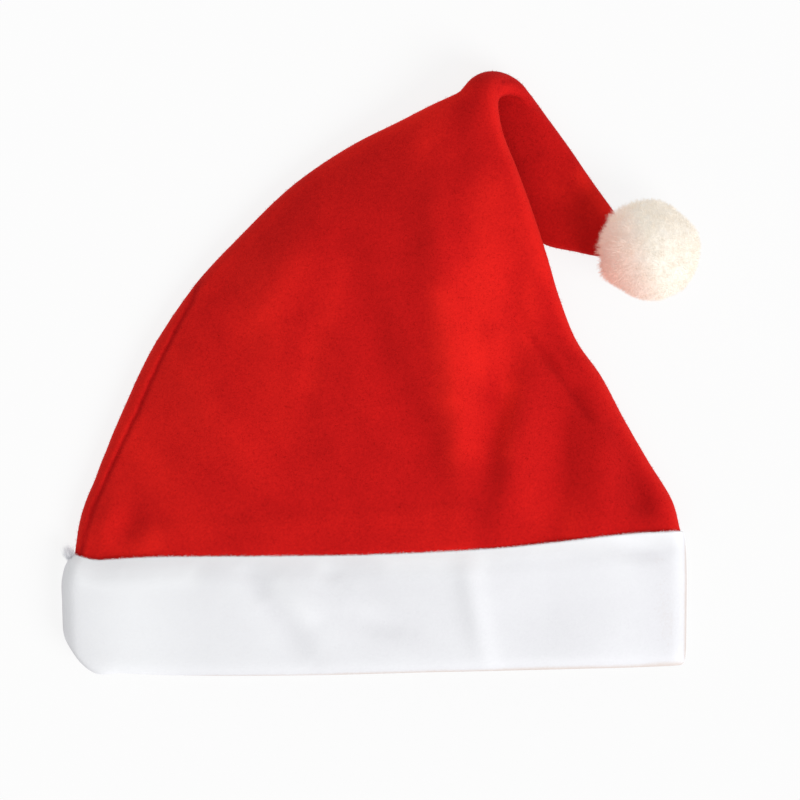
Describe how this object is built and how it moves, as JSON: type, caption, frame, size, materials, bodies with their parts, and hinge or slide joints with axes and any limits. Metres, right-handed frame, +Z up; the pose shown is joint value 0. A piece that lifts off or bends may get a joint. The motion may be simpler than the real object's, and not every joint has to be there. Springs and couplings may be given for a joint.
{
  "type": "santa hat",
  "caption": "Soft fleece pull-on hat lying flat, with a tapered crown folded over at the top, a turned-up white band and a fluffy pompom at the tip.",
  "frame": {"origin": "on the surface that the hat lies on, under the middle of the whole hat's bounding box", "axes": "+X along the band, towards the side where the tail and pompom hang; +Y from the open mouth to the folded top; +Z up from the surface, from the back sheet to the front sheet"},
  "size_m": [0.2959, 0.2794, 0.0465],
  "materials": {
    "red_fleece": "matt brushed fleece with a fine short nap",
    "white_fleece": "matt brushed fleece, thicker and softer than the crown",
    "cream_pile": "dense fluffy pile of soft crimped fibres"
  },
  "bodies": {
    "root": {"crown": "red_fleece", "band": "white_fleece", "pompom": "cream_pile"}
  },
  "joints": []
}
